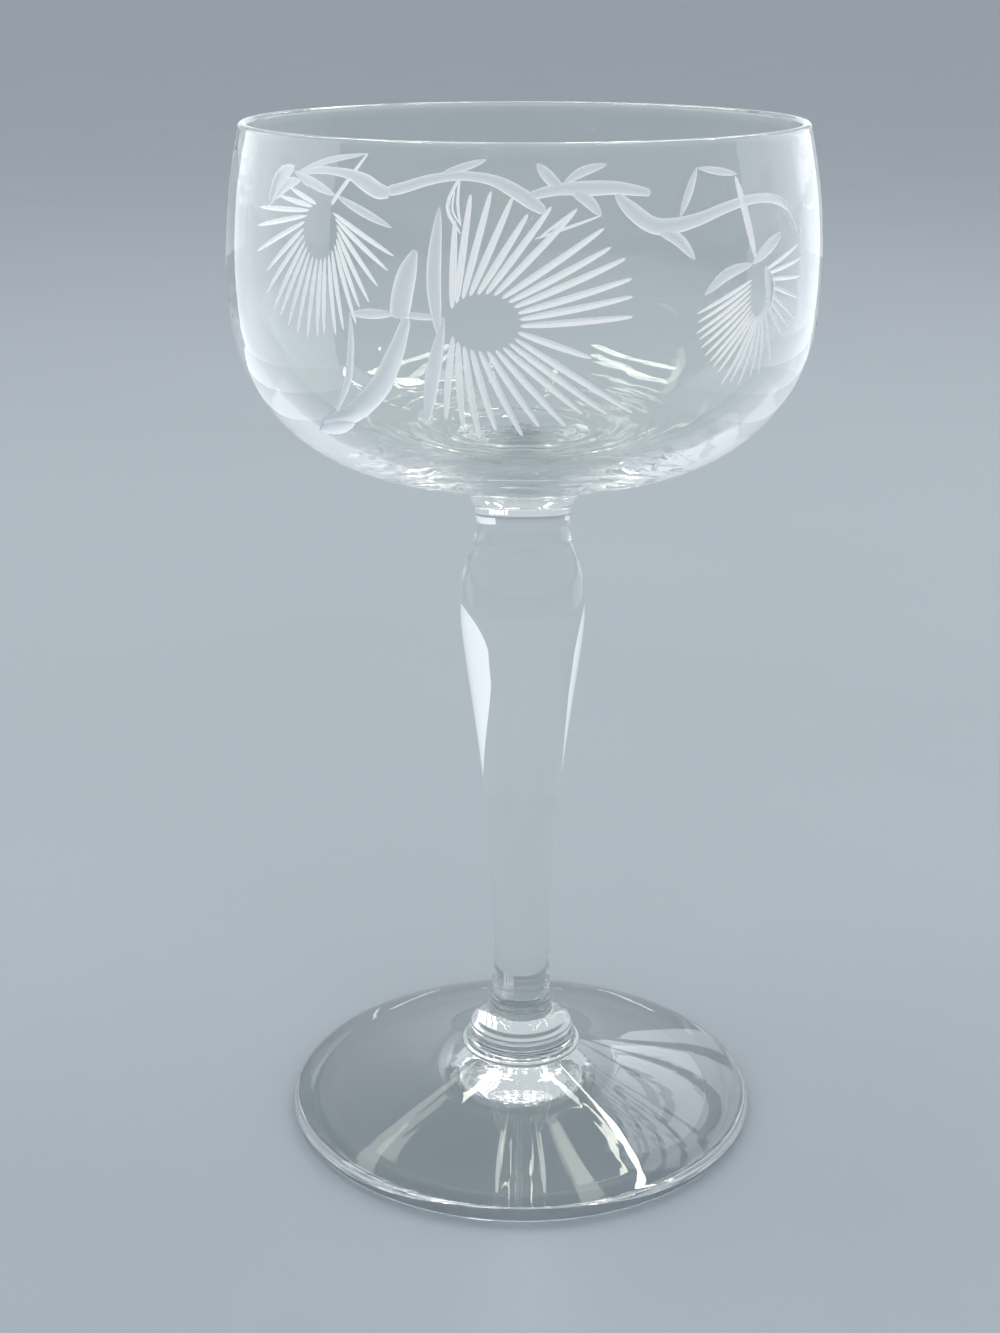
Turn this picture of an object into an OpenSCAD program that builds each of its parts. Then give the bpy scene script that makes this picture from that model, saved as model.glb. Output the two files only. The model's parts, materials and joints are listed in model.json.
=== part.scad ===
// Coupe glass with a deep rounded bowl, a drawn stem with a shoulder, a knop, a merese and a foot
// Every piece is turned about Z, the foot rests on z = 0, and all lengths are millimetres

/* [Bowl] */
// Height from the seat on the stem to the top of the lip
bowl_h = 51; // [44:0.5:60]
// Outer diameter at the widest level
bowl_d = 84.2; // [76:0.2:96]
// Depth of the widest level below the top of the lip
belly_drop = 19.5; // [14:0.5:24]
// How far the wall leans in between the widest level and the lip
rim_lean = 2.3; // [1.5:0.1:5]
// Radius of the turn between the wall and the base
corner_r = 24.5; // [18:0.5:29]
// Radius of the shallow curve of the base
base_r = 80; // [66:1:110]
// Wall thickness at the widest level
wall_t = 2; // [1.4:0.1:2.6]
// Thickness of the fire-polished lip
lip_t = 1.4; // [1:0.1:2]
// Thickness of the base on the axis
floor_t = 4; // [2.5:0.1:6]
// Radius of the shallow curve of the floor inside
floor_r = 110; // [90:1:140]

/* [Stem] */
// Height of the stem between the knop and the bowl
stem_h = 87.4; // [60:0.1:110]
// Diameter of the flare under the bowl
flare_d = 20.6; // [17:0.1:24]
// Diameter of the neck under the flare
neck_d = 14; // [10:0.1:16]
// Depth of the neck below the bowl
neck_drop = 7; // [5:0.1:9]
// Diameter of the shoulder, the swelling of the stem
shoulder_d = 18.9; // [16:0.1:22]
// Depth of the shoulder below the bowl
shoulder_drop = 19.5; // [15:0.1:25]
// Diameter of the waist, the thinnest place
waist_d = 8.9; // [7:0.1:11]
// Height of the waist above the knop
waist_rise = 9.4; // [6:0.1:14]
// Diameter of the stem's foot on the knop
stem_foot_d = 9.7; // [8:0.1:11]

/* [Knop] */
// Height of the knop
knop_h = 5; // [4:0.1:6]
// Largest diameter of the knop
knop_d = 16.9; // [15:0.1:20]
// Radius of the knop's rounded side
knop_round_r = 4.3; // [3.6:0.1:5.2]

/* [Merese] */
// Thickness of the merese, the thin disc between the knop and the foot
merese_h = 1.1; // [0.8:0.1:2]
// Diameter of the merese
merese_d = 18.8; // [18:0.1:24]

/* [Foot] */
// Height of the foot at its hub
foot_h = 10.5; // [8:0.1:14]
// Diameter of the foot
foot_d = 73.6; // [60:0.2:90]
// Diameter of the hub that carries the merese
hub_d = 17.2; // [16:0.1:18]
// Thickness of the rounded edge
edge_t = 2.3; // [1.8:0.1:3]
// Lift of the edge above the table
edge_lift = 0.5; // [0.3:0.1:1]
// Outer diameter of the ring that the glass rests on
rest_d = 67; // [56:0.2:68]
// Width of the ring that the glass rests on
rest_w = 3.5; // [2:0.1:5]
// Height of the hollow under the foot
hollow_h = 4.2; // [2:0.1:6]

/* [Hidden] */
$fn = 64;

// Turn of one facet along the long arcs and along the small rounds, in degrees
long_turn = 7;
round_turn = 30;

// Radii
bowl_r = bowl_d / 2;
rim_r = bowl_r - rim_lean;
flare_r = flare_d / 2;
neck_r = neck_d / 2;
shoulder_r = shoulder_d / 2;
waist_r = waist_d / 2;
stem_foot_r = stem_foot_d / 2;
knop_r = knop_d / 2;
merese_r = merese_d / 2;
foot_r = foot_d / 2;
hub_r = hub_d / 2;
rest_r = rest_d / 2;
edge_r = edge_t / 2;

// Levels of the seats, each piece standing on the one below
merese_z = foot_h;
knop_z = merese_z + merese_h;
stem_z = knop_z + knop_h;
bowl_z = stem_z + stem_h;

// Pull of each curve's handles, along its own height or width
flare_shares = [0.31, 0.46];
flare_side_share = 0.28;
neck_shares = [0.33, 0.58];
taper_shares = [0.16, 0.54];
stem_foot_shares = [0.42, 0.21];
foot_top_shares = [[0.20, 0.42], [0.36, 0.145]];
hollow_shares = [[0.30, 0.30], [0.45, 0]];

// Slope of the foot where its top and its underside run into the edge, in degrees
edge_top_slope = 8;
edge_under_slope = 12;

glass = [0.84, 0.91, 0.92, 0.45];

// Points along an arc about c, from angle a0 to angle a1, one facet every turn degrees
function arc(c, r, a0, a1, turn) =
    let (n = max(2, ceil(abs(a1 - a0) / turn)))
    [for (i = [0:n]) let (a = a0 + (a1 - a0) * i / n) c + r * [cos(a), sin(a)]];

// Points along a cubic curve from p0 to p3 that leaves towards p1 and arrives from p2
function curve(p0, p1, p2, p3, n) =
    [for (i = [0:n]) let (t = i / n, s = 1 - t)
        s * s * s * p0 + 3 * s * s * t * p1 + 3 * s * t * t * p2 + t * t * t * p3];

// Curve between two levels of a turned stem that is upright at both ends
function swell(p0, p1, shares, n) =
    let (rise = p1[1] - p0[1])
    curve(p0, p0 + [0, shares[0] * rise], p1 - [0, shares[1] * rise], p1, n);

// Two stretches joined end to end, with their common point once
function chain(a, b) = concat(a, [for (i = [1:len(b) - 1]) b[i]]);

function back(list) = [for (i = [len(list) - 1:-1:0]) list[i]];

// Radius of an arc that is upright at one end and has leaned by lean at height run above it
function lean_radius(run, lean) = (run * run + lean * lean) / (2 * lean);

// The lower right of the two points where circles about c1 and c2 meet
function circles_meet(c1, r1, c2, r2) =
    let (gap = norm(c2 - c1), e = (c2 - c1) / gap)
    let (along = (r1 * r1 - r2 * r2 + gap * gap) / (2 * gap))
    c1 + along * e + sqrt(r1 * r1 - along * along) * [e[1], -e[0]];

function heading(from, to) = atan2(to[1] - from[1], to[0] - from[0]);

// One skin of the bowl from its base up to its lip: a shallow base arc, a tight corner and a
// long leaning arc, each tangent to the next. It starts at radius start_r, and low_z is the
// level of the base arc there.
function bowl_skin(start_r, low_z, arc_r, turn_r, belly_r, lip_r) =
    let (lip_z = bowl_h - lip_t / 2)
    let (belly_z = bowl_h - belly_drop)
    let (side_r = lean_radius(lip_z - belly_z, belly_r - lip_r))
    let (side_c = [belly_r - side_r, belly_z])
    let (base_c = [0, low_z + sqrt(arc_r * arc_r - start_r * start_r)])
    let (corner_c = circles_meet(side_c, side_r - turn_r, base_c, arc_r - turn_r))
    let (base_end = heading(base_c, corner_c))
    let (corner_end = heading(side_c, corner_c))
    let (base = arc(base_c, arc_r, -acos(start_r / arc_r), base_end, long_turn))
    let (corner = arc(corner_c, turn_r, base_end, corner_end, long_turn))
    let (side = arc(side_c, side_r, corner_end, asin((lip_z - belly_z) / side_r), long_turn))
    chain(chain(base, corner), side);

// Blown bowl, thin at the lip and thicker towards the base, with a flat seat on the stem
module bowl() {
    outer = bowl_skin(flare_r, 0, base_r, corner_r, bowl_r, rim_r);
    inner = bowl_skin(0, floor_t, floor_r, corner_r - wall_t, bowl_r - wall_t, rim_r - lip_t);
    lip = arc([rim_r - lip_t / 2, bowl_h - lip_t / 2], lip_t / 2, 0, 180, round_turn);
    color(glass)
    translate([0, 0, bowl_z])
    rotate_extrude()
    polygon(concat([[0, 0]], chain(chain(outer, lip), back(inner))));
}

// Drawn stem: a foot, a long taper up from the waist to the shoulder, a neck and a flare
module stem() {
    foot_end = [stem_foot_r, 0];
    waist = [waist_r, waist_rise];
    shoulder = [shoulder_r, stem_h - shoulder_drop];
    neck = [neck_r, stem_h - neck_drop];
    flare_end = [flare_r, stem_h];
    flare_side = [flare_side_share * (flare_r - neck_r), 0];
    low = swell(foot_end, waist, back(stem_foot_shares), 4);
    taper = swell(waist, shoulder, back(taper_shares), 12);
    collar = swell(shoulder, neck, back(neck_shares), 8);
    flare = curve(neck, neck + [0, flare_shares[1] * neck_drop],
        neck + flare_side + [0, (1 - flare_shares[0]) * neck_drop], flare_end, 6);
    color(glass)
    translate([0, 0, stem_z])
    rotate_extrude()
    polygon(concat([[0, 0]], chain(chain(low, taper), chain(collar, flare)), [[0, stem_h]]));
}

// Round button whose top is the seat of the stem
module knop() {
    round_x = knop_r - knop_round_r;
    top_x = stem_foot_r - round_x;
    round_z = knop_h - sqrt(knop_round_r * knop_round_r - top_x * top_x);
    round_c = [round_x, round_z];
    low_a = -asin(round_z / knop_round_r);
    high_a = heading(round_c, [stem_foot_r, knop_h]);
    color(glass)
    translate([0, 0, knop_z])
    rotate_extrude()
    polygon(concat([[0, 0]], arc(round_c, knop_round_r, low_a, high_a, round_turn / 2), [[0, knop_h]]));
}

// Thin disc with a rounded edge
module merese() {
    edge_c = [merese_r - merese_h / 2, merese_h / 2];
    color(glass)
    translate([0, 0, merese_z])
    rotate_extrude()
    polygon(concat([[0, 0]], arc(edge_c, merese_h / 2, -90, 90, round_turn), [[0, merese_h]]));
}

// Spread foot: a hub, a top that falls away to a rounded edge, and a hollow under a resting ring
module foot() {
    edge_c = [foot_r - edge_r, edge_lift + edge_r];
    edge = arc(edge_c, edge_r, 90 - edge_top_slope, edge_under_slope - 90, round_turn);
    top_start = [hub_r, foot_h];
    top_fall = edge[0] - top_start;
    top_out = [top_fall[0] * foot_top_shares[0][0], top_fall[1] * foot_top_shares[0][1]];
    top_in = [top_fall[0] * foot_top_shares[1][0], top_fall[1] * foot_top_shares[1][1]];
    top = curve(top_start, top_start + top_out, edge[0] - top_in, edge[0], 8);
    hollow_r = rest_r - rest_w;
    hollow_out = [hollow_r * hollow_shares[0][0], hollow_h * hollow_shares[0][1]];
    hollow_in = [hollow_r * hollow_shares[1][0], hollow_h * hollow_shares[1][1]];
    hollow = curve([hollow_r, 0], [hollow_r - hollow_out[0], hollow_out[1]],
        [hollow_in[0], hollow_h - hollow_in[1]], [0, hollow_h], 6);
    color(glass)
    rotate_extrude()
    polygon(concat([[0, foot_h]], chain(top, edge), [[rest_r, 0]], hollow));
}

bowl();
stem();
knop();
merese();
foot();
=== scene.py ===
import json
import math

import bpy
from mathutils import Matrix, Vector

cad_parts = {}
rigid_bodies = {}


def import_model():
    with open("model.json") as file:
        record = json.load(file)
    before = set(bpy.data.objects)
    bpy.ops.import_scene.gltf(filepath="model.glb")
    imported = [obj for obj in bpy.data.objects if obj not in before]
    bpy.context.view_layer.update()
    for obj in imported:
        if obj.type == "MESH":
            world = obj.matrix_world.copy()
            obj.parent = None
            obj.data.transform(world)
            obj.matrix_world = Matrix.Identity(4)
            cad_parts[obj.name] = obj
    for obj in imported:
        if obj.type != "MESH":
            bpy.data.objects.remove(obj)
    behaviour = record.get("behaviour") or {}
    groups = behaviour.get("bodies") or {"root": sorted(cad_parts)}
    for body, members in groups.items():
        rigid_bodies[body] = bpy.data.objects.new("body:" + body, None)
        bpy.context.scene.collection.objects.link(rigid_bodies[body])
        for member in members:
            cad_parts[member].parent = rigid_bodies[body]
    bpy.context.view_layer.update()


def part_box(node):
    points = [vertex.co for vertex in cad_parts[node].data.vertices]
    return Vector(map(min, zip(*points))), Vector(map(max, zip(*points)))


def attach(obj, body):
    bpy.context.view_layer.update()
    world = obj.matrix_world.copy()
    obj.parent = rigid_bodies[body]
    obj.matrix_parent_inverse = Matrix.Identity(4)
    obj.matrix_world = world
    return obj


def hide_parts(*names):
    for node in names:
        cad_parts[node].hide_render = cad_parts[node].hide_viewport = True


# Coupe glass: a blown bowl with wheel-cut flowers, a drawn stem, a knop, a merese and a spread foot.
# Lengths in the settings are millimetres for the glass and the camera, and metres for the studio.

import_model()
scene = bpy.context.scene
mm = 0.001


# Base, top and greatest radius of each CAD piece

def cadSizes(node):
    low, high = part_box(node)
    return low.z / mm, high.z / mm, high.x / mm


_, footTop, footRadius = cadSizes("foot")  # the foot rests on level 0
mereseBase, mereseTop, mereseRadius = cadSizes("merese")
knopBase, knopTop, knopRadius = cadSizes("knop")
stemBase, stemTop, flareRadius = cadSizes("stem")
bowlBase, bowlTop, bellyRadius = cadSizes("bowl")


# Colour and nodes

def linear(hexColour):
    parts = [int(hexColour[i:i + 2], 16) / 255 for i in (1, 3, 5)]
    return [c / 12.92 if c <= 0.04045 else ((c + 0.055) / 1.055) ** 2.4 for c in parts] + [1]


def addNode(tree, kind, settings=None, links=None):
    node = tree.nodes.new(kind)
    for name, value in (settings or {}).items():
        if name in node.inputs:
            node.inputs[name].default_value = value
        else:
            setattr(node, name, value)
    for name, source in (links or {}).items():
        tree.links.new(source, node.inputs[name])
    return node


def newMaterial(name):
    material = bpy.data.materials.new(name)
    material.use_nodes = True
    material.node_tree.nodes.clear()
    return material, material.node_tree


# Camera, fitted to the ellipses of the lip and the foot

shot = {
    "lens": 73.84,  # for a frame 36 mm wide
    "frameWidth": 36,
    "lookDown": 18.94,  # degrees
    "sideways": -3.4,
    "away": 294.66,
    "height": 175.6,
    "nearest": 10,  # what is closer to the lens isn't drawn
}


def makeCamera():
    place = (shot["sideways"] * mm, -shot["away"] * mm, shot["height"] * mm)
    tilt = math.radians(90 - shot["lookDown"])
    bpy.ops.object.camera_add(location=place, rotation=(tilt, 0, 0))
    camera = bpy.context.object
    camera.data.sensor_fit = "HORIZONTAL"
    camera.data.sensor_width = shot["frameWidth"]
    camera.data.lens = shot["lens"]
    camera.data.clip_start = shot["nearest"] * mm
    scene.camera = camera
    print("camera made")


# Studio: a pale floor and surround, with softboxes beside and behind the glass

studio = {
    "floorRadius": 30,
    "floorSides": 128,
    "floorColour": "#a9b3be",
    "floorFleck": "#afb9c4",
    "fleckSize": 0.111,
    "floorRoughness": 0.75,
    "surroundColour": "#ccd3da",
    "ambient": 0.64,  # strength of the even light that falls on matt surfaces
    "cardColour": "#f6f9ff",
    "tubeColour": "#fffff0",
    "tubeHeight": 0.8,
    "bounces": 64,  # light runs a long way round inside the wall of the bowl
}

# Each lamp is listed under what it lights or how it shows.
cards = {  # standing softboxes: the two ends on the floor, lowest and highest level, brightness
    "fill": {
        "frontFill": ((-1.5, -2.6), (2.1, -2.6), 0.3, 2.3, 1.5),
    },
    "bowl": {
        "nearRight": ((0.31, 0.07), (0.19, 0.4), 0, 0.32, 0.2),
        "nearLeft": ((-0.47, 0.4), (-0.3, 0.07), 0, 0.32, 0.14),
        "farRight": ((1.2, 1), (0.345, 1), 0, 0.24, 0.32),
        "farLeft": ((-0.345, 1), (-1.2, 1), 0, 0.9, 0.3),
    },
    "mirror": {  # seen as reflections in the bowl, never through it
        "sideRight": ((0.3, -0.03), (0.3, 0.5), 0, 0.3, 1.2),
        "sideLeft": ((-0.3, 0.35), (-0.3, -0.095), 0, 0.3, 1.7),
        "behind": ((0.34, 1), (-0.34, 1), 0.16, 0.42, 0.7),
    },
    "stem": {
        "lowRight": ((0.31, 0.07), (0.19, 0.4), 0, 0.07, 0.5),
        "lowLeft": ((-0.47, 0.4), (-0.3, 0.07), 0, 0.07, 0.5),
    },
}
tubes = {  # strip lamps overhead: the two ends, width, brightness
    "all": {
        "tubeRight": ((0.55, 0.2), (0.1, 0.89), 0.022, 16),
        "tubeLeft": ((-0.62, 0.38), (-0.17, 0.92), 0.06, 2),
        "tubeOverRight": ((0.27, -0.1), (0.29, 0.45), 0.04, 9),
        "tubeOverLeft": ((-0.27, -0.1), (-0.29, 0.45), 0.045, 13),
        "tubeMiddleRight": ((0.08, 0.28), (0.04, 0.62), 0.01, 5),
        "tubeMiddleLeft": ((-0.07, 0.28), (-0.03, 0.62), 0.01, 5),
        "tubeNear": ((0.13, 0.38), (0.11, 0.72), 0.035, 2.2),
    },
    "bowl": {
        "bowlTubeRight": ((0.29, 0.45), (0.34, 0.75), 0.04, 9),
        "bowlTubeLeft": ((-0.29, 0.45), (-0.35, 0.7), 0.045, 12),
        "bowlTubeInner": ((-0.16, 0.36), (-0.23, 0.8), 0.03, 8),
        "bowlTubeFar": ((0.49, 0.84), (0.29, 1.31), 0.04, 9),
        "lipTube": ((0.115, 0.86), (0.115, 1.04), 0.1, 18),
    },
    "glow": {  # a broad one that draws the line along the lip
        "lipGlow": ((0, 0.45), (0, 0.72), 1, 5),
    },
}
floorGlows = {  # softboxes lying under the side ones: place, size, brightness
    "glowRight": ((0.25, 0.2), (0.1, 0.6), 0.7),
    "glowRightInner": ((0.17, 0.2), (0.06, 0.6), 0.35),
    "glowLeft": ((-0.25, 0.12), (0.1, 0.5), 1.3),
    "glowLeftInner": ((-0.17, 0.12), (0.06, 0.5), 0.6),
}
window = {  # behind and to the right, in panes: left and right edges, lowest and highest level
    "away": 1.1,
    "level": 1.3,
    "panes": (
        (0.25, 0.295, 0.18, 0.9), (0.32, 0.38, 0.18, 0.9), (0.405, 0.5, 0.18, 0.9), (0.53, 0.7, 0.18, 0.9),
        (0.32, 0.85, 0.93, 1), (0.32, 0.85, 1.03, 1.1), (0.32, 0.85, 1.13, 1.2), (0.32, 0.85, 1.23, 1.34),
    ),
}


def makeFloor():
    bpy.ops.object.select_all(action="DESELECT")
    bpy.ops.mesh.primitive_circle_add(vertices=studio["floorSides"], radius=studio["floorRadius"],
                                      fill_type="NGON")
    floor = bpy.context.object
    floor.name = "studioFloor"
    # matt painted board: one even tone with a faint mottle, and a soft shadow
    material, tree = newMaterial("Pale_matt_board")
    coords = addNode(tree, "ShaderNodeTexCoord")
    mottle = addNode(tree, "ShaderNodeTexNoise", {"Scale": 1 / studio["fleckSize"], "Detail": 4},
                     {"Vector": coords.outputs["Object"]})
    shade = addNode(tree, "ShaderNodeMix", {"data_type": "RGBA"}, {"Factor": mottle.outputs["Fac"]})
    first, second = [socket for socket in shade.inputs if socket.type == "RGBA"]
    first.default_value = linear(studio["floorColour"])
    second.default_value = linear(studio["floorFleck"])
    mixed = [socket for socket in shade.outputs if socket.type == "RGBA"][0]
    surface = addNode(tree, "ShaderNodeBsdfPrincipled", {"Roughness": studio["floorRoughness"]},
                      {"Base Color": mixed})
    addNode(tree, "ShaderNodeOutputMaterial", {}, {"Surface": surface.outputs["BSDF"]})
    floor.data.materials.append(material)
    print("floor laid")


def makeSurround():
    world = bpy.data.worlds.new("Studio")
    world.use_nodes = True
    tree = world.node_tree
    tree.nodes.clear()
    path = addNode(tree, "ShaderNodeLightPath")
    direct = addNode(tree, "ShaderNodeMath", {"operation": "MAXIMUM"})
    tree.links.new(path.outputs["Is Camera Ray"], direct.inputs[0])
    tree.links.new(path.outputs["Is Glossy Ray"], direct.inputs[1])
    # the eye sees the pale colour straight, mirrored and through the glass alike
    seen = addNode(tree, "ShaderNodeMath", {"operation": "MAXIMUM"})
    tree.links.new(direct.outputs[0], seen.inputs[0])
    tree.links.new(path.outputs["Is Transmission Ray"], seen.inputs[1])
    pale = addNode(tree, "ShaderNodeBackground", {"Color": linear(studio["surroundColour"]), "Strength": 1})
    soft = addNode(tree, "ShaderNodeBackground", {"Color": linear("#ffffff"), "Strength": studio["ambient"]})
    both = addNode(tree, "ShaderNodeMixShader", {}, {"Fac": seen.outputs[0]})
    tree.links.new(soft.outputs[0], both.inputs[1])
    tree.links.new(pale.outputs[0], both.inputs[2])
    addNode(tree, "ShaderNodeOutputWorld", {}, {"Surface": both.outputs[0]})
    scene.world = world


def addLamp(name, place, size, level, colour, rotation):
    # the level is how bright the lamp itself looks, where 1 is white
    bpy.ops.object.light_add(type="AREA", location=place, rotation=rotation)
    lamp = bpy.context.object
    lamp.name = name
    lamp.data.shape = "RECTANGLE"
    lamp.data.size, lamp.data.size_y = size
    lamp.data.energy = level * math.pi * size[0] * size[1]
    lamp.data.color = linear(colour)[:3]
    return lamp


def addCard(name, start, end, low, high, level):
    # it shines to the left of the line from start to end
    middle = ((start[0] + end[0]) / 2, (start[1] + end[1]) / 2, (low + high) / 2)
    turn = math.atan2(end[1] - start[1], end[0] - start[0])
    size = (math.dist(start, end), high - low)
    return addLamp(name, middle, size, level, studio["cardColour"], (math.pi / 2, 0, turn))


def addTube(name, start, end, width, level):
    middle = ((start[0] + end[0]) / 2, (start[1] + end[1]) / 2, studio["tubeHeight"])
    turn = math.atan2(start[0] - end[0], end[1] - start[1])
    size = (width, math.dist(start, end))
    return addLamp(name, middle, size, level, studio["tubeColour"], (0, 0, turn))


# some lamps light only the bowl, and some only the pieces under it
litBowl = bpy.data.collections.new("litBowl")
litStem = bpy.data.collections.new("litStem")


def makeLights():
    makeSurround()
    for lit, group in cards.items():
        for name, card in group.items():
            lamp = addCard(name, *card)
            if lit == "fill":
                # it lights the cuts and the floor, and never shows as a white sheet in the glass
                lamp.visible_glossy = lamp.visible_transmission = False
            else:
                lamp.visible_camera = False
                lamp.visible_transmission = lit != "mirror"
                lamp.light_linking.receiver_collection = litStem if lit == "stem" else litBowl
    for lit, group in tubes.items():
        for name, tube in group.items():
            lamp = addTube(name, *tube)
            if lit != "all":
                lamp.light_linking.receiver_collection = litBowl
            if lit == "glow":
                lamp.visible_camera = lamp.visible_transmission = lamp.visible_diffuse = False
    for name, (place, size, level) in floorGlows.items():
        lamp = addLamp(name, (*place, mm), size, level, studio["cardColour"], (math.pi, 0, 0))
        lamp.visible_camera = lamp.visible_transmission = lamp.visible_diffuse = False
        lamp.light_linking.receiver_collection = litBowl
    for left, right, low, high in window["panes"]:
        ends = (right, window["away"]), (left, window["away"])
        pane = addCard("windowPane", *ends, low, high, window["level"])
        pane.light_linking.receiver_collection = litStem
    scene.view_settings.view_transform = "Standard"
    scene.cycles.max_bounces = studio["bounces"]
    scene.cycles.transmission_bounces = studio["bounces"]
    scene.cycles.glossy_bounces = studio["bounces"]
    scene.cycles.transparent_max_bounces = studio["bounces"]
    print("lights set")


# Glass

glass = {
    "tint": "#fbfdfb",  # soda-lime glass is very slightly green
    "ior": 1.52,
    "rayColour": "#fbfdfe",
    "rayRoughness": 0.5,
    "rayTransmission": 0.14,
    "leafColour": "#f1f6f9",
    "leafRoughness": 0.42,
    "leafTransmission": 0.5,
    "gritSize": 0.35,  # real grit is finer, and this is as coarse as it needs to show
    "gritDepth": 0.05,
    "gritStrength": 0.5,
}
waviness = {  # width of a wave round the axis, its length along it, and its height
    "blown": (14.29, 7.14, 0.06),
    "drawn": (3.03, 71.4, 0.016),
    "tooled": (9.09, 3.85, 0.03),
    "spread": (6.13, None, 0.02),  # the width is the one at the edge of the foot, and they run out to it
}


def makeClearGlass(name, making):
    width, length, height = waviness[making]
    material, tree = newMaterial(name)
    coords = addNode(tree, "ShaderNodeTexCoord")
    place = coords.outputs["Object"]
    if length:
        scale = (1 / (width * mm), 1 / (width * mm), 1 / (length * mm))
    else:
        # only the direction from the axis counts, so the waves run out to the edge
        scale = (footRadius / width, footRadius / width, 0)
        flat = addNode(tree, "ShaderNodeMapping", {"Scale": (1, 1, 0)}, {"Vector": place})
        ray = addNode(tree, "ShaderNodeVectorMath", {"operation": "NORMALIZE"})
        tree.links.new(flat.outputs["Vector"], ray.inputs[0])
        place = ray.outputs["Vector"]
    stretch = addNode(tree, "ShaderNodeMapping", {"Scale": scale}, {"Vector": place})
    wave = addNode(tree, "ShaderNodeTexNoise", {"Scale": 1, "Detail": 2},
                   {"Vector": stretch.outputs["Vector"]})
    bump = addNode(tree, "ShaderNodeBump", {"Strength": 1, "Distance": height * mm},
                   {"Height": wave.outputs["Fac"]})
    surface = addNode(tree, "ShaderNodeBsdfPrincipled", {
        "Base Color": linear(glass["tint"]),
        "Roughness": 0,
        "IOR": glass["ior"],
        "Transmission Weight": 1,
    }, {"Normal": bump.outputs["Normal"]})
    addNode(tree, "ShaderNodeOutputMaterial", {}, {"Surface": surface.outputs["BSDF"]})
    return material


def makeCutGlass(name, cut):
    material, tree = newMaterial(name)
    coords = addNode(tree, "ShaderNodeTexCoord")
    grit = addNode(tree, "ShaderNodeTexNoise", {"Scale": 1 / (glass["gritSize"] * mm), "Detail": 3},
                   {"Vector": coords.outputs["Object"]})
    bump = addNode(tree, "ShaderNodeBump",
                   {"Strength": glass["gritStrength"], "Distance": glass["gritDepth"] * mm},
                   {"Height": grit.outputs["Fac"]})
    surface = addNode(tree, "ShaderNodeBsdfPrincipled", {
        "Base Color": linear(glass[cut + "Colour"]),
        "Roughness": glass[cut + "Roughness"],
        "IOR": glass["ior"],
        "Transmission Weight": glass[cut + "Transmission"],
    }, {"Normal": bump.outputs["Normal"]})
    addNode(tree, "ShaderNodeOutputMaterial", {}, {"Surface": surface.outputs["BSDF"]})
    return material


def makeFusedSeam():
    material, tree = newMaterial("Soda_lime_glass_fused_hot")
    surface = addNode(tree, "ShaderNodeBsdfTransparent")
    addNode(tree, "ShaderNodeOutputMaterial", {}, {"Surface": surface.outputs["BSDF"]})
    return material


# blown and fire-polished: clear and mirror-smooth, with broad soft waves that make the highlights swim
blownGlass = makeClearGlass("Soda_lime_glass_blown", "blown")
# drawn out hot: clear, with faint long waves down the stem
drawnGlass = makeClearGlass("Soda_lime_glass_drawn", "drawn")
# pressed with wooden tools: clear, with short uneven waves that break up what it mirrors
tooledGlass = makeClearGlass("Soda_lime_glass_tooled", "tooled")
# spread flat while spinning: clear, with waves that run from the hub out to the edge
spreadGlass = makeClearGlass("Soda_lime_glass_spread", "spread")
# cut with a sharp stone wheel and left unpolished: bright, chalky and nearly opaque
rayGlass = makeCutGlass("Soda_lime_glass_mitre_cut", "ray")
# cut with a broad round-edged wheel: a frosted veil that lets some of the background through
leafGlass = makeCutGlass("Soda_lime_glass_flute_cut", "leaf")
# joined hot: the two pieces are one glass here, and the join can't be seen
fusedSeam = makeFusedSeam()


# Outlines, in millimetres: radius and height

def arcPoints(centre, radius, start, end, turn):
    count = max(2, math.ceil(abs(end - start) / turn))
    angles = [math.radians(start + (end - start) * i / count) for i in range(count + 1)]
    return [(centre[0] + radius * math.cos(a), centre[1] + radius * math.sin(a)) for a in angles]


def curvePoints(p0, p1, p2, p3, count):
    points = []
    for i in range(count + 1):
        t = i / count
        s = 1 - t
        weights = (s ** 3, 3 * s * s * t, 3 * s * t * t, t ** 3)
        points.append(tuple(sum(w * p[k] for w, p in zip(weights, (p0, p1, p2, p3))) for k in (0, 1)))
    return points


def swellPoints(low, high, shares, count):
    # upright at both ends, each with its own share of the height as its pull
    lowShare, highShare = shares
    rise = high[1] - low[1]
    lowPull, highPull = (low[0], low[1] + lowShare * rise), (high[0], high[1] - highShare * rise)
    return curvePoints(low, lowPull, highPull, high, count)


def heading(start, end):
    return math.degrees(math.atan2(end[1] - start[1], end[0] - start[0]))


def circlesMeet(c1, r1, c2, r2):
    gap = math.dist(c1, c2)
    along = (r1 * r1 - r2 * r2 + gap * gap) / (2 * gap)
    off = math.sqrt(r1 * r1 - along * along)
    ex, ey = (c2[0] - c1[0]) / gap, (c2[1] - c1[1]) / gap
    return (c1[0] + along * ex + off * ey, c1[1] + along * ey - off * ex)


# Turning

turning = {
    "steps": 192,  # faces round every piece
    "sharpEdge": 30,  # degrees, above which an edge stays crisp
    "joined": 0.002,  # points closer than this become one
    "seamLevel": 0.001,  # how far a seam's faces may lie from its level
    "seamFlat": 0.99,  # least upright part of their normals
}


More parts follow.
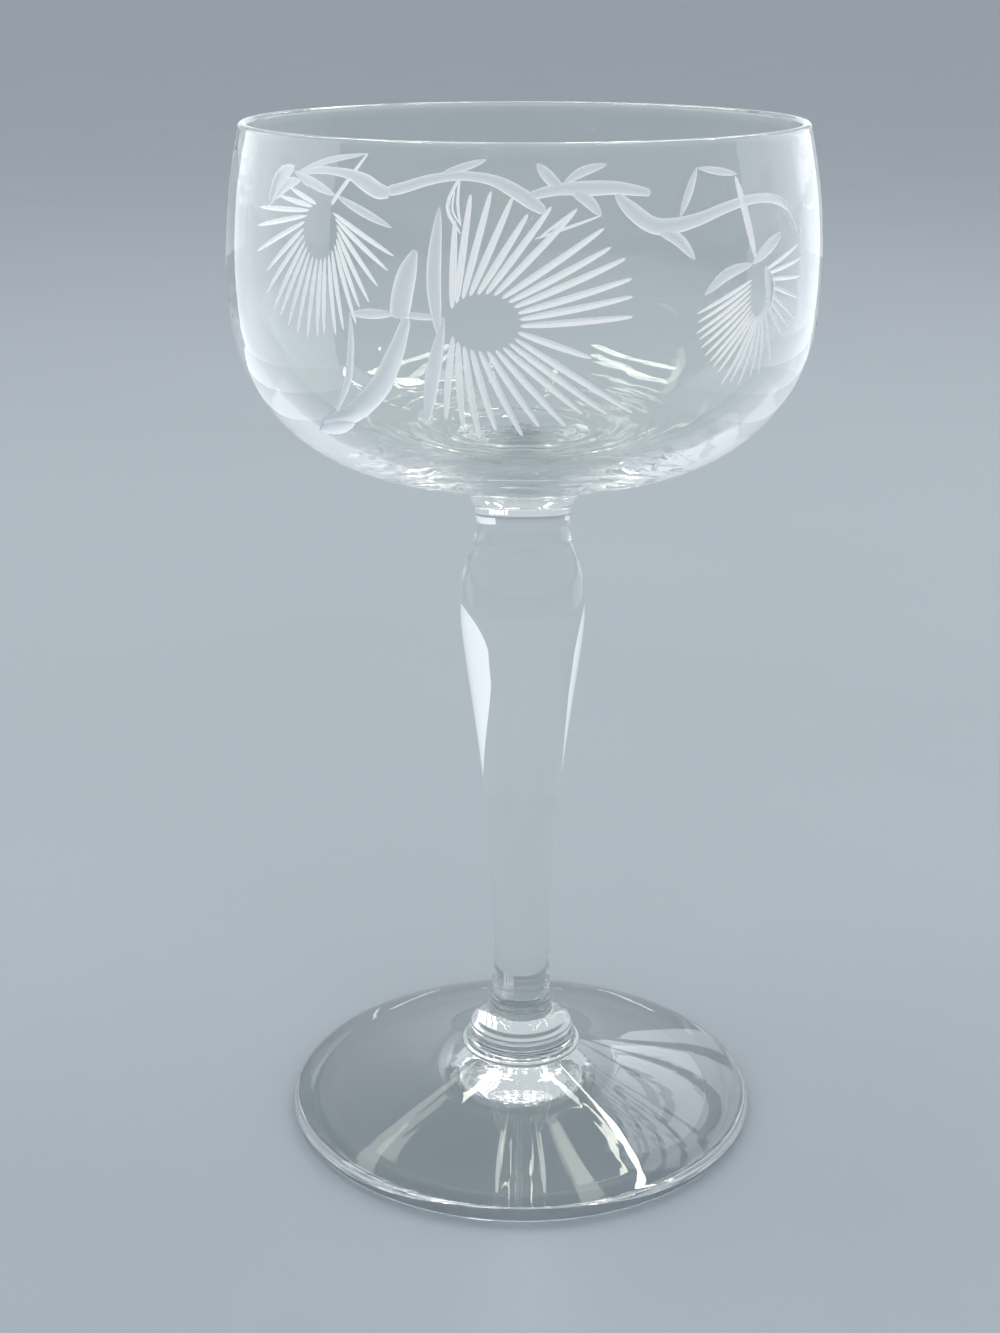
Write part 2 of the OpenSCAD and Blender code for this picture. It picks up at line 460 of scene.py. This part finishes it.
def turnPiece(name, outline, material, seams):
    # the outline is drawn point by point from a single vertex, then spun about the axis
    bpy.ops.object.select_all(action="DESELECT")
    bpy.ops.mesh.primitive_plane_add(size=mm)
    piece = bpy.context.object
    piece.name = name
    piece.data.name = name
    bpy.ops.object.mode_set(mode="EDIT")
    bpy.ops.mesh.select_mode(type="VERT")
    bpy.ops.mesh.select_all(action="SELECT")
    bpy.ops.mesh.merge(type="CENTER")
    bpy.ops.transform.translate(value=(outline[0][0] * mm, 0, outline[0][1] * mm))
    for start, end in zip(outline, outline[1:]):
        step = ((end[0] - start[0]) * mm, 0, (end[1] - start[1]) * mm)
        bpy.ops.mesh.extrude_region_move(TRANSFORM_OT_translate={"value": step})
    bpy.ops.mesh.select_all(action="SELECT")
    bpy.ops.mesh.spin(steps=turning["steps"], angle=2 * math.pi, center=(0, 0, 0), axis=(0, 0, 1))
    bpy.ops.mesh.select_all(action="SELECT")
    bpy.ops.mesh.remove_doubles(threshold=turning["joined"] * mm)
    bpy.ops.mesh.normals_make_consistent(inside=False)
    bpy.ops.object.mode_set(mode="OBJECT")
    piece.data.materials.append(material)
    piece.data.materials.append(fusedSeam)
    for face in piece.data.polygons:
        # a flat face within a seam's radius is where the next piece is joined on
        for level, radius in seams:
            atSeam = abs(face.center.z - level * mm) < turning["seamLevel"] * mm
            flat = abs(face.normal.z) > turning["seamFlat"]
            if atSeam and flat and math.hypot(face.center.x, face.center.y) < radius * mm:
                face.material_index = 1  # the seam's slot
    bpy.ops.object.shade_smooth_by_angle(angle=math.radians(turning["sharpEdge"]))
    print(name, "turned,", len(piece.data.polygons), "faces")
    return piece


# Bowl, blown: two skins of three arcs each and a round lip

bowlBlow = {
    "bellyDrop": 19.5,
    "rimLean": 2.3,
    "cornerRadius": 24.5,
    "baseCurve": 80,
    "wall": 2,
    "lip": 1.4,
    "floor": 4,
    "floorCurve": 110,
    "fineTurn": 1.25,  # degrees in a step of the curves
    "rippleTurn": 0.25,
    "lipTurn": 15,
    "rippleReach": 31,  # radius where the rings have died away
    "floorRipple": (0.1, 3.6, -0.9),  # height, distance between rings, and the radius that they start from
    "baseRipple": (0.05, 2.4, 10.3),
}


def bowlSkin(startRadius, low, curve, corner, belly, lip):
    top = bowlTop - bowlBlow["lip"] / 2
    bellyLevel = bowlTop - bowlBlow["bellyDrop"]
    run, lean = top - bellyLevel, belly - lip
    side = (run * run + lean * lean) / (2 * lean)
    sideCentre = (belly - side, bellyLevel)
    baseCentre = (0, low + math.sqrt(curve * curve - startRadius * startRadius))
    cornerCentre = circlesMeet(sideCentre, side - corner, baseCentre, curve - corner)
    baseEnd = heading(baseCentre, cornerCentre)
    cornerEnd = heading(sideCentre, cornerCentre)
    start = -math.degrees(math.acos(startRadius / curve))
    turn = bowlBlow["fineTurn"]
    base = arcPoints(baseCentre, curve, start, baseEnd, bowlBlow["rippleTurn"])
    bend = arcPoints(cornerCentre, corner, baseEnd, cornerEnd, turn)
    wall = arcPoints(sideCentre, side, cornerEnd, math.degrees(math.asin(run / side)), turn / 2)
    return base + bend[1:] + wall[1:]


def rippled(points, ripple):
    # the blowing leaves faint rings about the axis
    height, pitch, start = bowlBlow[ripple]
    rows = []
    for radius, level in points:
        fade = max(0, 1 - radius / bowlBlow["rippleReach"])
        rows.append((radius, level + height * fade * math.sin(2 * math.pi * (radius - start) / pitch)))
    return rows


def makeBowl():
    rim = bellyRadius - bowlBlow["rimLean"]
    lip = bowlBlow["lip"]
    corner, wall = bowlBlow["cornerRadius"], bowlBlow["wall"]
    floor = bowlBase + bowlBlow["floor"]
    outer = bowlSkin(flareRadius, bowlBase, bowlBlow["baseCurve"], corner, bellyRadius, rim)
    inner = bowlSkin(0, floor, bowlBlow["floorCurve"], corner - wall, bellyRadius - wall, rim - lip)
    outer = rippled(outer, "baseRipple")
    inner = rippled(inner, "floorRipple")
    edge = arcPoints((rim - lip / 2, bowlTop - lip / 2), lip / 2, 0, 180, bowlBlow["lipTurn"])
    outline = [(0, bowlBase)] + outer + edge[1:] + inner[::-1][1:]
    bowl = turnPiece("cutBowl", outline, blownGlass, [(bowlBase, flareRadius)])
    cutBowl(bowl, outer[::-1])
    return bowl


# Wheel cuts, drawn as strokes on the wall: degrees round from the front, millimetres down from the lip.
# A bloom's rays run from its bare middle to the tips, and "from" and "to" say where round the middle.

bloomBig = {
    "centre": (-7.4, 20.9), "bare": (6.1, 3.5), "from": -62, "to": 240,
    "width": 0.92, "fullest": 0.4, "blunt": 0.3,
    "tips": [
        (-12.4, 8.6), (-9.8, 5.4), (-6.3, 5), (-2.6, 5.7), (0, 7.7), (4, 6.8), (8.4, 7.1), (13, 9.5),
        (14.2, 11.8), (16.8, 13.2), (17.9, 15.7), (18.1, 17.9), (18.2, 20.4), (11, 25.4), (19.6, 33.2),
        (14.7, 33.2), (10.1, 33), (7.2, 34.8), (2.3, 34.8), (-0.8, 36.3), (-5.7, 35.4), (-8.9, 36.8),
        (-11.8, 35.2), (-14.9, 34),
    ],
}
bloomLeft = {
    "centre": (-38.8, 10.8), "bare": (3.9, 3.4), "from": -18, "to": -314,
    "width": 0.7, "fullest": 0.42, "blunt": 0.4,
    "tips": [
        (-47.2, 5.9), (-50, 7.1), (-56.8, 8.9), (-57.2, 11.3), (-57, 14.6), (-53.6, 16.9), (-53.8, 19.8),
        (-51.8, 21.9), (-49.6, 22.4), (-47.4, 23.5), (-45, 24.3), (-42.3, 24.6), (-39.8, 24.4),
        (-38.1, 23.8), (-35.4, 23.7), (-33.6, 22.9), (-30.8, 22), (-30, 19.9), (-28, 19.1), (-26.3, 17),
        (-24.3, 15), (-23.2, 13.2),
    ],
}
bloomRight = {
    "centre": (45.2, 18.8), "bare": (2.1, 3.2), "from": -60, "to": -320,
    "width": 0.62, "fullest": 0.45, "blunt": 0.4,
    "tips": [
        (30.5, 20.7), (30.8, 21.8), (30.6, 23.2), (31.3, 24), (31.9, 25.1), (32.8, 26.2), (34, 27.1),
        (35, 27.8), (36.4, 28.7), (37.8, 30.6), (40, 30.6), (42.4, 31.2), (45.4, 30.3), (47.8, 30), (51, 29),
        (53.8, 25.4), (56, 24.4), (58.4, 23.5), (59.4, 20.9), (59.6, 18.1), (60, 15.7), (58.6, 13.8),
    ],
}
leaves = [  # greatest width, then the points that the leaf follows
    (1.9, [(-15.2, 7), (-16, 15.5), (-15.2, 23)]),
    (1.9, [(-14.2, 20.5), (-16.6, 28), (-18.6, 34.6)]),
    (0.9, [(-23, 20.3), (-14, 20.5)]),
    (1.3, [(-32.2, 20.7), (-23, 20.3)]),
    (1.1, [(-32, 20.6), (-32.2, 25), (-34, 30), (-39.2, 35.1)]),
    (2.5, [(-47, 38.8), (-35, 36)]),
    (2.5, [(-46.7, 3.2), (-50.8, 5), (-53.4, 8.5)]),
    (1.5, [(-44.6, 4.9), (-48.4, 5.6), (-51.6, 7.6)]),
    (1.3, [(-46.6, 3.8), (-35.8, 6.3)]),
    (1.1, [(-35.6, 6.3), (-23.7, 9.8)]),
    (0.6, [(-45, 4.6), (-41.2, 5.6)]),
    (0.8, [(-29.5, 1), (-38, 2.1), (-46, 4)]),
    (1.8, [(43.3, 15.2), (48, 13.4), (52.2, 11.9)]),
    (1.6, [(43.4, 15.2), (37, 16.1), (32, 18.4)]),
    (2.2, [(46.9, 15.7), (48.8, 18.8), (48.2, 22)]),
    (1, [(31.4, 2.8), (40.6, 3.9)]),
    (1.1, [(27.1, 8.6), (31.3, 2.7)]),
    (1, [(-15, 3), (-11, 2.2), (-7.2, 1.3)]),
    (1.5, [(1.5, 1.7), (3.6, 3.4), (6.6, 5.6)]),
    (1.2, [(6, 4.1), (9.6, 2.7), (13.8, 1.9)]),
    (1.5, [(7.2, 5), (10.2, 6.2), (12.6, 8.1)]),
    (1.6, [(22.7, 10.2), (26.6, 11.3), (30, 13.9)]),
]
hairlines = [  # fine strokes, cut as the rays are
    (0.6, [(-36.4, 7.5), (-35.2, 6.2), (-29.4, 0.9)]),
    (1.2, [(40, 4.1), (44.2, 14.6)]),
    (0.4, [(12.5, 8), (1.1, 10.7)]),
    (0.4, [(8.4, 7.1), (2.1, 10.4)]),
    (0.5, [(-11.7, 3.2), (-13.8, 7), (-11.4, 10.2)]),
    (0.4, [(-11.8, 3.2), (-12, 6.6), (-11.4, 9.3)]),
    (0.3, [(-12.6, 5), (-12.9, 7.3), (-11.6, 9)]),
]
blades = [  # two long leaves and then the vine: each point with the width there
    [(-19.3, 12.3, 0.7), (-20.6, 14.8, 2.4), (-21.6, 17.5, 2.9), (-22.4, 20.9, 2.7)],
    [(-20.8, 20.6, 1.2), (-23.6, 25.7, 2.4), (-27.6, 30.4, 2.8), (-35.2, 34.7, 2.6), (-44.6, 37.4, 1.4)],
    [(-45, 4, 0.5), (-40, 3.4, 0.9), (-36, 3.4, 1), (-32.5, 3.7, 1.4), (-29.5, 4.5, 2.1), (-26.8, 5.4, 2),
     (-24.4, 5.6, 1.3)],
    [(-24.9, 5.4, 1.3), (-22, 4.9, 1.4), (-18, 4, 1.3), (-14, 3.4, 1.15), (-10, 3.3, 1.15), (-6, 3.75, 1.35),
     (-2.5, 4.9, 1.75), (0.5, 6.3, 1.7), (2.9, 7.5, 1)],
    [(0.3, 5.6, 1), (3, 5.1, 1.3), (6, 4.75, 1.5), (10, 4.75, 1.85), (15, 4.75, 1.65), (19, 5.15, 1.3),
     (21.6, 5.5, 0.9)],
    [(15.2, 5.5, 0.9), (18, 7.5, 2), (21.8, 9.4, 2.1), (26, 9.6, 1.95), (31, 9, 1.6), (36, 8.05, 1.4),
     (41, 7.35, 1.25), (46, 7.15, 1.2), (51, 7.6, 1.2), (55.6, 9.2, 1), (59.6, 12.6, 0.6)],
]
wheel = {
    "mitreDepth": 0.7,  # depth of a ray beside its half width
    "fluteDepth": 0.36,  # depth of a leaf or a vine beside its half width
    "deepest": 0.5,
    "clear": 0.4,  # how far the cutters stand out of the wall
    "tip": 0.04,  # share of the width left at a stroke's ends
    "leafFullest": 0.5,  # share of the length where a leaf or a fine stroke is widest
    "leafBlunt": 0.62,  # the lower, the fuller the ends
    "hairBlunt": 0.35,
    "bladeEnd": 0.03,  # share of a blade's length over which its end is rounded
    "fluteSides": (0.17, 0.5, 0.8, 1),  # where the section of a flute turns
    "rim": 0.8,  # share of the half width past which a face is the edge of the cut, and gets the whiter ray finish as a painted highlight
    "sharpEdge": 20,  # degrees
    "rayStations": 10,  # steps along a stroke
    "leafStations": 14,
    "bladeStations": 40,
    "near": 0.01,  # share of a stroke over which its direction is measured
}
mitreSection = [(-1, 1), (-1, 0), (0, -1), (1, 0), (1, 1)]
cutSlots = [blownGlass, fusedSeam, rayGlass, leafGlass]  # the bowl's slots, which the gouges share


def fluteSection():
    sides = wheel["fluteSides"]
    across = [-c for c in reversed(sides)] + list(sides)
    return [(-1, 1)] + [(c, c * c - 1) for c in across] + [(1, 1)]


def makeGouge(name, section, stations, middle):
    # a straight bar one unit long, drawn across and then extruded along
    bpy.ops.object.select_all(action="DESELECT")
    bpy.ops.mesh.primitive_plane_add(size=1)
    gouge = bpy.context.object
    gouge.name = name
    bpy.ops.object.mode_set(mode="EDIT")
    bpy.ops.mesh.select_mode(type="VERT")
    bpy.ops.mesh.merge(type="CENTER")
    bpy.ops.transform.translate(value=(0, section[0][0], section[0][1]))
    for start, end in zip(section, section[1:]):
        step = (0, end[0] - start[0], end[1] - start[1])
        bpy.ops.mesh.extrude_region_move(TRANSFORM_OT_translate={"value": step})
    bpy.ops.mesh.select_all(action="SELECT")
    bpy.ops.mesh.edge_face_add()
    for _ in range(stations):
        bpy.ops.mesh.extrude_region_move(TRANSFORM_OT_translate={"value": (1 / stations, 0, 0)})
    bpy.ops.mesh.select_all(action="SELECT")
    bpy.ops.mesh.normals_make_consistent(inside=False)
    bpy.ops.object.mode_set(mode="OBJECT")
    for material in cutSlots:
        gouge.data.materials.append(material)
    for face in gouge.data.polygons:
        # painted highlight: the edges of a flute take the whiter, more opaque ray finish, so they look as
        # bright as the rays do
        rim = abs(face.center.y) > wheel["rim"]
        face.material_index = cutSlots.index(rayGlass if rim else middle)
    return gouge


def measureWall(outline):
    # the outside from the lip down: how far down, radius, level, and the direction out of the wall
    rows = []
    down = 0
    for i, point in enumerate(outline):
        before, after = outline[max(i - 1, 0)], outline[min(i + 1, len(outline) - 1)]
        length = math.dist(before, after)
        down += math.dist(outline[max(i - 1, 0)], point)
        rows.append((down, *point, (before[1] - after[1]) / length, (after[0] - before[0]) / length))
    return rows


def wallAt(rows, down):
    i = 0
    while i < len(rows) - 2 and rows[i + 1][0] < down:
        i += 1
    share = (down - rows[i][0]) / (rows[i + 1][0] - rows[i][0])
    return [a + share * (b - a) for a, b in zip(rows[i], rows[i + 1])]


def onWall(rows, angle, down, out):
    _, radius, level, outward, upward = wallAt(rows, down)
    radius += outward * out
    turn = math.radians(angle)
    return (radius * math.sin(turn) * mm, -radius * math.cos(turn) * mm, (level + upward * out) * mm)


def smoothPath(points, share):
    # a smooth curve through the points, by the Catmull-Rom rule
    if len(points) == 2:
        return [a + share * (b - a) for a, b in zip(*points)]
    place = share * (len(points) - 1)
    i = min(int(place), len(points) - 2)
    t = place - i
    p1, p2 = points[i], points[i + 1]
    p0 = points[i - 1] if i > 0 else [2 * a - b for a, b in zip(p1, p2)]
    p3 = points[i + 2] if i + 2 < len(points) else [2 * b - a for a, b in zip(p1, p2)]
    return [0.5 * (2 * b + (c - a) * t + (2 * a - 5 * b + 4 * c - d) * t * t
                   + (3 * b - a - 3 * c + d) * t ** 3)
            for a, b, c, d in zip(p0, p1, p2, p3)]


def spindle(share, fullest, blunt):
    rise = math.sin(math.pi / 2 * min(share / fullest, 1))
    fall = math.sin(math.pi / 2 * min((1 - share) / (1 - fullest), 1))
    return max(wheel["tip"], max(0, rise * fall) ** blunt)


def bladeEnds(share):
    near = min(share, 1 - share) / wheel["bladeEnd"]
    return max(wheel["tip"], math.sqrt(max(0, 1 - (1 - min(near, 1)) ** 2)))


def layStroke(gouge, rows, points, depthShare, shape, cutters):
    # the bar is bent along the points, each an angle, a depth down the wall and a width
    mesh = gouge.data.copy()
    cutters.objects.link(bpy.data.objects.new("cutter", mesh))
    for vertex in mesh.vertices:
        along, side, height = vertex.co
        along = (1 - math.cos(math.pi * along)) / 2  # the steps are closer at the ends
        angle, down, width = smoothPath(points, along)
        ahead = smoothPath(points, min(along + wheel["near"], 1))
        behind = smoothPath(points, max(along - wheel["near"], 0))
        degree = math.radians(1) * wallAt(rows, down)[1]  # millimetres in a degree at this level
        stepX, stepDown = (ahead[0] - behind[0]) * degree, ahead[1] - behind[1]
        length = math.hypot(stepX, stepDown)
        half = width / 2 * shape(along)
        if height > 0:
            out = wheel["clear"]
        else:
            out = height * min(half * depthShare, wheel["deepest"])
        x = angle + side * half * stepDown / length / degree
        y = down - side * half * stepX / length
        vertex.co = onWall(rows, x, y, out)


def cutBowl(bowl, outline):
    rows = measureWall(outline)
    rayGouge = makeGouge("rayGouge", mitreSection, wheel["rayStations"], rayGlass)
    leafGouge = makeGouge("leafGouge", fluteSection(), wheel["leafStations"], leafGlass)
    bladeGouge = makeGouge("bladeGouge", fluteSection(), wheel["bladeStations"], leafGlass)
    cutters = bpy.data.collections.new("cutters")
    scene.collection.children.link(cutters)
    for bloom in (bloomBig, bloomLeft, bloomRight):
        count = len(bloom["tips"])
        for i, tip in enumerate(bloom["tips"]):
            around = math.radians(bloom["from"] + (bloom["to"] - bloom["from"]) * i / (count - 1))
            inner = (bloom["centre"][0] + bloom["bare"][0] * math.sin(around),
                     bloom["centre"][1] - bloom["bare"][1] * math.cos(around))
            ray = [(*inner, bloom["width"]), (*tip, bloom["width"])]
            layStroke(rayGouge, rows, ray, wheel["mitreDepth"],
                      lambda share: spindle(share, bloom["fullest"], bloom["blunt"]), cutters)
    for gouge, strokes, depth, blunt in ((leafGouge, leaves, "fluteDepth", "leafBlunt"),
                                         (rayGouge, hairlines, "mitreDepth", "hairBlunt")):
        for width, points in strokes:
            layStroke(gouge, rows, [(*point, width) for point in points], wheel[depth],
                      lambda share: spindle(share, wheel["leafFullest"], wheel[blunt]), cutters)
    for points in blades:
        layStroke(bladeGouge, rows, points, wheel["fluteDepth"], bladeEnds, cutters)
    for material in cutSlots[2:]:
        bowl.data.materials.append(material)
    modifier = bowl.modifiers.new("wheelCuts", "BOOLEAN")
    modifier.operation = "DIFFERENCE"
    modifier.operand_type = "COLLECTION"
    modifier.collection = cutters
    modifier.solver = "MANIFOLD"
    bpy.ops.object.select_all(action="DESELECT")
    bpy.context.view_layer.objects.active = bowl
    bowl.select_set(True)
    bpy.ops.object.modifier_apply(modifier="wheelCuts")
    bpy.ops.object.shade_smooth_by_angle(angle=math.radians(wheel["sharpEdge"]))
    for cutter in list(cutters.objects) + [rayGouge, leafGouge, bladeGouge]:
        bpy.data.objects.remove(cutter)
    bpy.data.collections.remove(cutters)


# Stem, drawn: foot, waist, shoulder, neck and flare

stemDraw = {
    "neck": 7,  # radii
    "shoulder": 9.45,
    "waist": 4.45,
    "foot": 4.85,
    "neckDrop": 7,
    "shoulderDrop": 19.5,
    "waistRise": 9.4,
    "footPull": (0.21, 0.42),  # how far each curve is held upright at its ends, as a share of its height
    "taperPull": (0.54, 0.16),
    "collarPull": (0.58, 0.33),
    "flarePull": (0.46, 0.31),
    "flareSide": 0.28,
    "steps": {"low": 48, "taper": 40, "collar": 24, "flare": 24},  # points along each curve
    "ringHeight": 0.06,
    "ringPitch": 1.3,
    "ringReach": 5,  # height above the knop where the rings have died away
}


def ringed(point):
    # the tools leave short rings above the knop
    radius, level = point
    rise = level - stemBase
    fade = max(0, 1 - rise / stemDraw["ringReach"])
    wave = math.sin(2 * math.pi * rise / stemDraw["ringPitch"])
    return (radius + stemDraw["ringHeight"] * fade * wave, level)


def makeStem():
    footEnd = (stemDraw["foot"], stemBase)
    waist = (stemDraw["waist"], stemBase + stemDraw["waistRise"])
    shoulder = (stemDraw["shoulder"], stemTop - stemDraw["shoulderDrop"])
    neck = (stemDraw["neck"], stemTop - stemDraw["neckDrop"])
    flareEnd = (flareRadius, stemTop)
    side = stemDraw["flareSide"] * (flareRadius - stemDraw["neck"])
    steps = stemDraw["steps"]
    low = [ringed(p) for p in swellPoints(footEnd, waist, stemDraw["footPull"], steps["low"])]
    taper = swellPoints(waist, shoulder, stemDraw["taperPull"], steps["taper"])
    collar = swellPoints(shoulder, neck, stemDraw["collarPull"], steps["collar"])
    lowPull, highPull = stemDraw["flarePull"]
    flare = curvePoints(neck, (neck[0], neck[1] + lowPull * stemDraw["neckDrop"]),
                        (neck[0] + side, neck[1] + (1 - highPull) * stemDraw["neckDrop"]), flareEnd,
                        steps["flare"])
    outline = [(0, stemBase)] + low + taper[1:] + collar[1:] + flare[1:] + [(0, stemTop)]
    return turnPiece("drawnStem", outline, drawnGlass, [(stemBase, knopRadius), (stemTop, flareRadius)])


# Knop, a round button

knopTurn = {
    "round": 4.3,
    "turn": 2,  # degrees in a step
    "wrinkleHeight": 0.05,
    "wrinklePitch": 1.25,
}


def knopCentre():
    x = knopRadius - knopTurn["round"]
    return (x, knopTop - math.sqrt(knopTurn["round"] ** 2 - (stemDraw["foot"] - x) ** 2))


def wrinkled(point):
    # the tools leave faint wrinkles round the button
    radius, level = point
    rise = level - knopBase
    wave = math.sin(2 * math.pi * rise / knopTurn["wrinklePitch"])
    fade = math.sin(math.pi * rise / (knopTop - knopBase))
    return (radius + knopTurn["wrinkleHeight"] * fade * wave, level)


def makeKnop():
    centre = knopCentre()
    start = -math.degrees(math.asin((centre[1] - knopBase) / knopTurn["round"]))
    end = heading(centre, (stemDraw["foot"], knopTop))
    side = [wrinkled(p) for p in arcPoints(centre, knopTurn["round"], start, end, knopTurn["turn"])]
    outline = [(0, knopBase)] + side + [(0, knopTop)]
    return turnPiece("roundKnop", outline, tooledGlass, [(knopBase, knopRadius), (knopTop, knopRadius)])


def knopFootRadius():
    centre = knopCentre()
    return centre[0] + math.sqrt(knopTurn["round"] ** 2 - (centre[1] - knopBase) ** 2)


# Merese, a thin disc

mereseTurn = 12  # degrees in a step of its rounded edge


def makeMerese():
    half = (mereseTop - mereseBase) / 2
    centre = (mereseRadius - half, mereseBase + half)
    edge = arcPoints(centre, half, -90, 90, mereseTurn)
    seat = knopFootRadius()
    hub = footTurn["hub"]
    outline = [(0, mereseBase), (hub, mereseBase)] + edge + [(seat, mereseTop), (0, mereseTop)]
    return turnPiece("mereseDisc", outline, tooledGlass, [(mereseBase, hub), (mereseTop, seat)])


# Foot, spread from a gather

footTurn = {
    "hub": 8.6,
    "edge": 2.3,  # thickness
    "edgeLift": 0.5,
    "rest": 33.5,
    "restWidth": 3.5,
    "topSlope": 8,  # degrees, where the top and the underside run into the edge
    "underSlope": 12,
    "edgeTurn": 8,
    "topOut": (0.20, 0.42),  # shares of the fall from the hub to the edge
    "topIn": (0.36, 0.145),
    "topSteps": 48,
    "hollow": 4.2,
    "hollowSide": ((25, 0.75), (20, 1.9), (15, 3.46), 28),  # two handles, the end, and the steps
    "hollowCrown": ((13.2, 4.02), (11.5, 4.2), (8, 4.2), 14),
}


def makeFoot():
    half = footTurn["edge"] / 2
    centre = (footRadius - half, footTurn["edgeLift"] + half)
    edge = arcPoints(centre, half, 90 - footTurn["topSlope"], footTurn["underSlope"] - 90,
                     footTurn["edgeTurn"])
    start, end = (footTurn["hub"], footTop), edge[0]
    fall = (end[0] - start[0], end[1] - start[1])
    (outX, outZ), (inX, inZ) = footTurn["topOut"], footTurn["topIn"]
    top = curvePoints(start, (start[0] + outX * fall[0], start[1] + outZ * fall[1]),
                      (end[0] - inX * fall[0], end[1] - inZ * fall[1]), end, footTurn["topSteps"])
    inner = footTurn["rest"] - footTurn["restWidth"]
    side = curvePoints((inner, 0), *footTurn["hollowSide"])
    crown = curvePoints(side[-1], *footTurn["hollowCrown"])
    under = [(footTurn["rest"], 0)] + side + crown[1:] + [(0, footTurn["hollow"])]
    outline = [(0, footTop)] + top + edge[1:] + under
    return turnPiece("spreadFoot", outline, spreadGlass, [(footTop, footTurn["hub"])])


makeCamera()
makeFloor()
makeLights()

makers = {"bowl": makeBowl, "stem": makeStem, "knop": makeKnop, "merese": makeMerese, "foot": makeFoot}
for node, make in makers.items():
    piece = make()
    (litBowl if node == "bowl" else litStem).objects.link(piece)
    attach(piece, "root")
    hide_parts(node)
